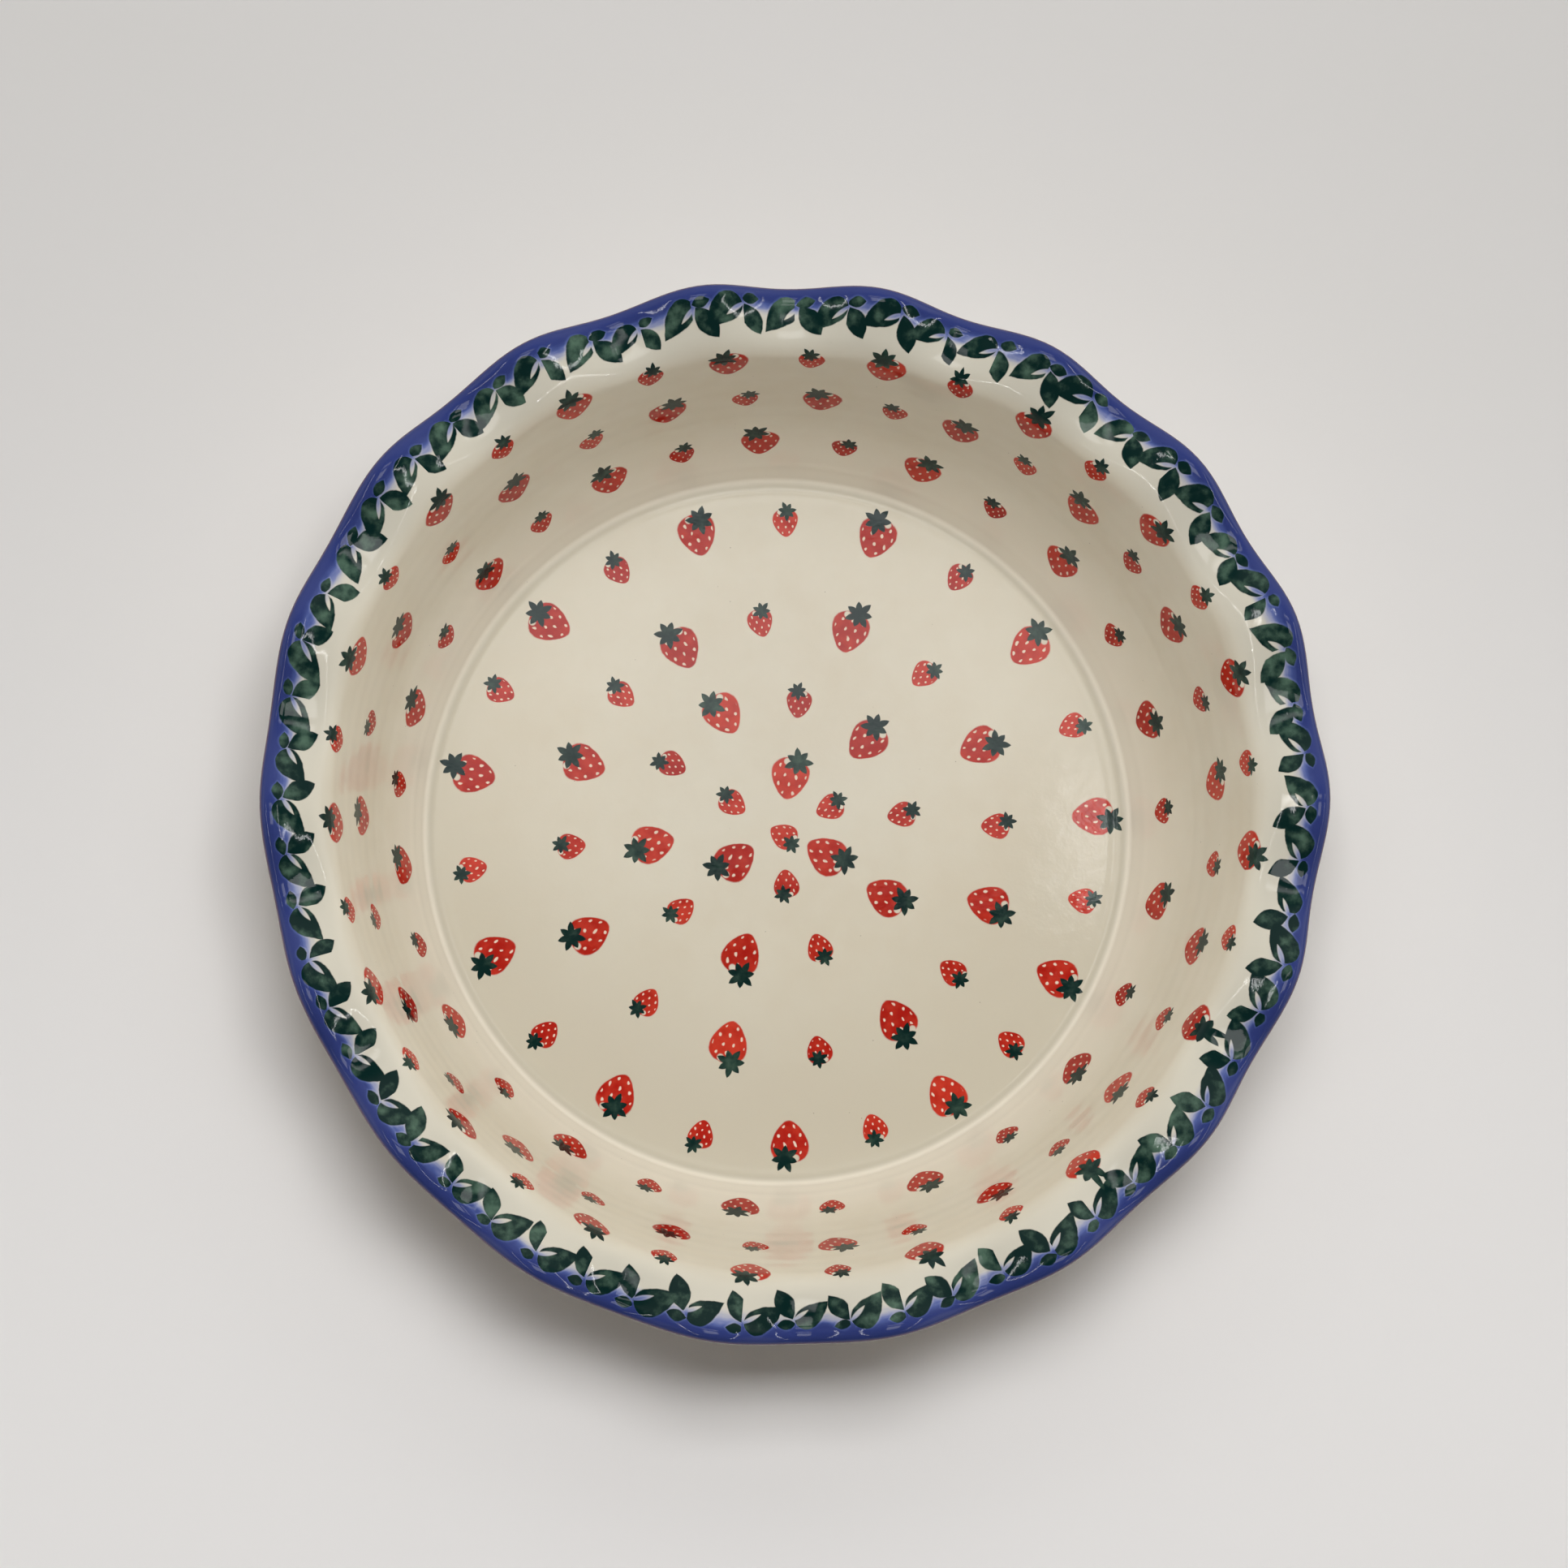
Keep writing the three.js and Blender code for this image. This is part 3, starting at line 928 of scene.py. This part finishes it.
def finish_glaze(paint, colour):
    """A glossy glaze with the faint orange peel that it sets with."""
    plug(colour, paint.shader.inputs["Base Color"])
    peel = paint.noise(PEEL_SIZE, detail=2) + paint.noise(SWELL_SIZE, detail=1) * SWELL_SHARE
    paint.bump(peel, PEEL_HEIGHT)
    roughness = paint.noise(GLOSS_SIZE, detail=2) * GLOSS_CHANGE + GLAZE_ROUGHNESS
    plug(roughness, paint.shader.inputs["Roughness"])
    paint.shader.inputs["Specular IOR Level"].default_value = GLAZE_SPECULAR
    return paint.material


def decorated_glaze(name, has_berries, has_garland):
    paint = Paint(name)
    reach_in = Num(paint.tree, paint.attribute("reach")["Fac"])
    colour = cream_paint(paint, is_inside=has_garland)
    if has_garland:
        # A greyer cream on the lip: partly a grey wash, partly painted shade on the flare.
        on_lip = reach_in.rise(*LIP_TONE) * reach_in.rise(*LIP_TONE_OUTSIDE)
        colour = paint.mix(on_lip, colour, LIP_GREY_AND_SHADE)
        colour = garland_paint(paint, colour, reach_in)
    if has_berries:
        colour = berry_paint(paint, colour)
    edge = abs(reach_in - RUST_PLACE).rise(*RUST_REACH) * RUST_SHARE
    colour = paint.mix(edge, colour, RUST)
    return finish_glaze(paint, colour)


def plain_glaze(name):
    paint = Paint(name)
    return finish_glaze(paint, cream_paint(paint))


def bare_stoneware(name):
    """Dry fired clay with a fine grain and iron specks."""
    paint = Paint(name)
    grain = paint.noise(GRAIN_SIZE, detail=4, roughness=GRAIN_CONTRAST)
    cloud = paint.noise(CLAY_CLOUD_SIZE, detail=3) + grain * GRAIN_SHARE
    clay_colour = paint.mix(cloud.rise(*CLAY_CLOUDS), BARE_CLAY, PALE_CLAY)
    iron = paint.specks(CLAY_SPECK_CELL, CLAY_SPECK_RADIUS, CLAY_SPECK_CHANCE) * CLAY_SPECK_STRENGTH
    plug(paint.mix(iron, clay_colour, IRON), paint.shader.inputs["Base Color"])
    paint.bump(grain, GRAIN_HEIGHT)
    plug(grain * CLAY_ROUGHNESS_CHANGE + CLAY_ROUGHNESS, paint.shader.inputs["Roughness"])
    return paint.material


def thinned(rows):
    """Some of the rows, with both ends kept."""
    kept = rows[::SEAT_STEP]
    return kept if kept[-1] == rows[-1] else [*kept, rows[-1]]


# On the bake's map a shown side is a large disc or ring, and a seat is a small ring in the corner
MAP_CENTRE = (0.5, 0.5)
MAP_RADIUS = 0.49
RIM_MAP_INNER = 0.28
RING_MAP_INNER = 0.2
SEAT_MAP_CENTRE = (0.075, 0.075)
SEAT_MAP_RADIUS = 0.065


def add_surface(rings, rows, inner, is_inside):
    """The coat's shown side. On its bake map the last row is outermost, and on the inside the first."""
    low, high = (MAP_RADIUS, inner) if is_inside else (inner, MAP_RADIUS)
    rings.add(surface[rows], surface_normals[rows], map_disc(MAP_CENTRE, low, high, len(rows)), reach[rows])


def add_seat(rings, rows):
    """The coat's hidden side, which lies on the clay."""
    seat_map = map_disc(SEAT_MAP_CENTRE, SEAT_MAP_RADIUS / 4, SEAT_MAP_RADIUS, len(rows))
    rings.add(clay[rows], -clay_normals[rows], seat_map, reach[rows])


def coat(name, first_row, last_row, map_inner, is_inside=False, stamps=None):
    """A coat of glaze between two rows of the section: shown side, seat on the clay and edges between."""
    rows = list(range(first_row, last_row + 1))
    seat_rows = thinned(rows)[::-1]
    rings = Rings()
    starts_on_axis = first_row == 0
    ends_on_axis = last_row == len(length) - 1
    if starts_on_axis:
        add_surface(rings, rows, map_inner, is_inside)
        add_seat(rings, seat_rows)
        rings.sharp = {len(rows) - 1}
    else:
        add_seat(rings, seat_rows)
        add_surface(rings, rows, map_inner, is_inside)
        rings.sharp = {len(seat_rows) - 1, len(seat_rows) + len(rows) - 1}
    return make_object(name, rings.joined(), not (starts_on_axis or ends_on_axis), stamps)


def clay_piece():
    """The clay under the glaze, which shows only beside the foot."""
    rows = thinned(list(range(len(length))))
    for row in (row_of["well_end"], row_of["outside_start"]):
        rows = sorted({*rows, row})
    rings = Rings()
    rings.add(clay[rows], clay_normals[rows], map_disc(MAP_CENTRE, 0, MAP_RADIUS, len(rows)), reach[rows])
    return make_object("clay", rings.joined(), False)


def foot_piece():
    """The bare ring that the bowl stands on."""
    inner = FOOT_RADIUS - FOOT_WIDTH
    places = [
        complex(inner, FOOT_HEIGHT),
        complex(inner, 0),
        complex(FOOT_RADIUS, 0),
        complex(FOOT_RADIUS, FOOT_HEIGHT),
    ]
    points = [(places[0], outward(-1j))]
    for index in (1, 2):
        points += rounded_corner(places[index - 1], places[index], places[index + 1], FOOT_EDGE_RADIUS)
    points.append((places[3], outward(1j)))
    at, _ = filled(points)
    ring_points = turned(at)
    normals = ways_out(ring_points, along(at))
    rings = Rings()
    ring_map = map_disc(MAP_CENTRE, RING_MAP_INNER, MAP_RADIUS, len(at))
    rings.add(ring_points, normals, ring_map, np.zeros(len(at)))
    rings.sharp = {len(at) - 1}
    return make_object("foot", rings.joined(), True)


def dress(piece, node, material):
    """Hangs a piece on the bowl in place of its plain solid."""
    piece.data.materials.append(material)
    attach(piece, "root")
    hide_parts(node)


def make_bowl():
    inside_rows = row_of["band_inside"], len(length) - 1
    rim_rows = row_of["band_outside"], row_of["band_inside"]
    outside_rows = row_of["outside_start"], row_of["band_outside"]
    inside = coat("glaze_inside", *inside_rows, 0, is_inside=True, stamps=inside_stamps())
    rim = coat("glaze_rim", *rim_rows, RIM_MAP_INNER)
    outside = coat("glaze_outside", *outside_rows, RING_MAP_INNER, stamps=outside_stamps())
    well = coat("glaze_foot_well", 0, row_of["well_end"], 0)
    dress(inside, "inside_glaze", decorated_glaze("inside_glaze", True, True))
    dress(rim, "rim_glaze", decorated_glaze("rim_glaze", False, True))
    dress(outside, "outside_glaze", decorated_glaze("outside_glaze", True, False))
    dress(well, "foot_well_glaze", plain_glaze("foot_well_glaze"))
    dress(clay_piece(), "clay_body", bare_stoneware("clay"))
    dress(foot_piece(), "foot_ring", bare_stoneware("bare_foot"))


# Stage: a pale floor in a light tent, with a row of lamps overhead and panels that the glaze mirrors
# Painted light and shade: the floor's colour is lighter in front, where the bowl's shadow falls, and darker
# behind, nearer the lamps.
FAR_FLOOR = srgb(213, 211, 209)
NEAR_FLOOR = srgb(245, 243, 242)
FLOOR_TURN = (-0.25, 0.25)  # the floor darkens between these places on the Y axis
STAGE_RADIUS = 4.0
FLOOR_DROP = -0.1 * MM  # the floor lies a hair below the foot
LAMP_HEIGHT = 1.4
PANEL_HEIGHT = 1.38
PANEL_GAP = 0.005  # each panel hangs this much below the one before, so that none hides another

# Lamps and panels: name, middle and size on the plan, and radiance
LAMPS = [
    ("key", (0, 0.075), (0.4, 0.165), 29.0),
    ("key_wide", (0, 0.075), (1.0, 0.165), 3.8),
    ("key_far", (0, 0.25), (0.45, 0.2), 18.0),
    ("fill_far", (0, 0.75), (1.2, 0.5), 1.5),
]
NEAR_PANEL = ("near_panel", (0, -0.4), (0.7, 0.62), 5.0)
GLINT = ("glint", (0.256, 0.115), (0.022, 0.08), 12.0)
FAR_STEPS = ((0.085, 0.34), (0.13, 0.31), (0.175, 0.28))  # the far panel grows brighter in steps
FAR_WIDTH = 0.8
FAR_STEP_RADIANCE = 1.45
STRIP_PLACE = (1.5, -1.3)
STRIP_SIZE = (0.05, 3.4)
STRIP_RADIANCE = 30.0

# The tent: its radiance, and the heights on a unit sphere where it starts and is full
SIDE_RADIANCE = 1.35
SIDE_CURVE = 4.0
SIDE_LEAN = 0.25  # how much brighter the tent is on the right
FAR_RADIANCE = 0.75
NEAR_RADIANCE = 0.05
END_START = math.cos(math.radians(30))
END_FULL = math.cos(math.radians(45))
SIDE_START = math.cos(math.radians(58))
SIDE_FULL = math.cos(math.radians(72))
TENT_TINT = (1.0, 0.97, 0.92, 1.0)


def make_floor():
    mesh = bpy.data.meshes.new("floor")
    edge = STAGE_RADIUS * np.exp(1j * angles)
    mesh.from_pydata([(at.real, at.imag, FLOOR_DROP) for at in edge], [], [list(range(len(edge)))])
    floor = bpy.data.objects.new("floor", mesh)
    bpy.context.scene.collection.objects.link(floor)
    paint = Paint("floor")
    _, far, _ = paint.parts(paint.place)
    # Painted light and shade: the floor's colour is lighter in front and darker behind.
    plug(paint.mix(far.rise(*FLOOR_TURN), NEAR_FLOOR, FAR_FLOOR), paint.shader.inputs["Base Color"])
    paint.shader.inputs["Roughness"].default_value = 1.0
    paint.shader.inputs["Specular IOR Level"].default_value = 0.0
    mesh.materials.append(paint.material)


def make_panel(name, middle, size, radiance, height=LAMP_HEIGHT):
    """A flat lamp that faces down."""
    lamp = bpy.data.lights.new(name, "AREA")
    lamp.shape = "RECTANGLE"
    lamp.size, lamp.size_y = size
    lamp.energy = radiance * math.pi * size[0] * size[1]
    holder = bpy.data.objects.new(name, lamp)
    holder.location = (*middle, height)
    holder.visible_camera = False
    bpy.context.scene.collection.objects.link(holder)
    return holder


def make_lamps():
    """Lamps that give light and shadow but no reflection."""
    for lamp in LAMPS:
        make_panel(*lamp).visible_glossy = False


def make_reflections():
    """Panels and strips that show in the glaze and light nothing else."""
    panels = [NEAR_PANEL, GLINT]
    for near, far in FAR_STEPS:
        panels.append(("far_panel", (0, (near + far) / 2), (FAR_WIDTH, far - near), FAR_STEP_RADIANCE))
    for side in (-1, 1):
        panels.append(("side_strip", (STRIP_PLACE[0] * side, STRIP_PLACE[1]), STRIP_SIZE, STRIP_RADIANCE))
    for place, panel in enumerate(panels):
        make_panel(*panel, PANEL_HEIGHT - PANEL_GAP * place).visible_diffuse = False


def make_world():
    """The tent: bright low at the left and right and on the far side, dark at the top."""
    world = bpy.data.worlds.new("tent")
    bpy.context.scene.world = world
    world.use_nodes = True
    tree = world.node_tree
    coordinates = tree.nodes.new("ShaderNodeTexCoord")
    split = tree.nodes.new("ShaderNodeSeparateXYZ")
    plug(coordinates.outputs["Generated"], split.inputs[0])
    side, far, height = (Num(tree, output) for output in split.outputs)
    low = height.rise(SIDE_START, SIDE_FULL)
    sides = low * (side ** SIDE_CURVE * SIDE_RADIANCE + side * SIDE_LEAN)
    ends = far.math("MAXIMUM", 0.0) * FAR_RADIANCE + (far * -1.0).math("MAXIMUM", 0.0) * NEAR_RADIANCE
    ends = ends * height.rise(END_START, END_FULL)
    plug((sides + ends).math("MAXIMUM", 0.0), tree.nodes["Background"].inputs["Strength"])
    tree.nodes["Background"].inputs["Color"].default_value = TENT_TINT


# Camera, as the photograph was taken
CAMERA_PLACE = Vector((-75, -112.2, 1287)) * MM
CAMERA_AIM = Vector((-3, 5, 87)) * MM
CAMERA_ANGLE = math.radians(18.59)


def make_camera():
    camera = bpy.data.cameras.new("camera")
    camera.sensor_fit = "HORIZONTAL"
    camera.angle = CAMERA_ANGLE
    holder = bpy.data.objects.new("camera", camera)
    back = (CAMERA_PLACE - CAMERA_AIM).normalized()
    right = Vector((0, 1, 0)).cross(back).normalized()
    up = back.cross(right)
    turn = Matrix((right, up, back)).transposed()
    holder.matrix_world = Matrix.Translation(CAMERA_PLACE) @ turn.to_4x4()
    bpy.context.scene.collection.objects.link(holder)
    bpy.context.scene.camera = holder


make_bowl()
make_floor()
make_lamps()
make_reflections()
make_world()
make_camera()
bpy.context.scene.view_settings.view_transform = "Standard"
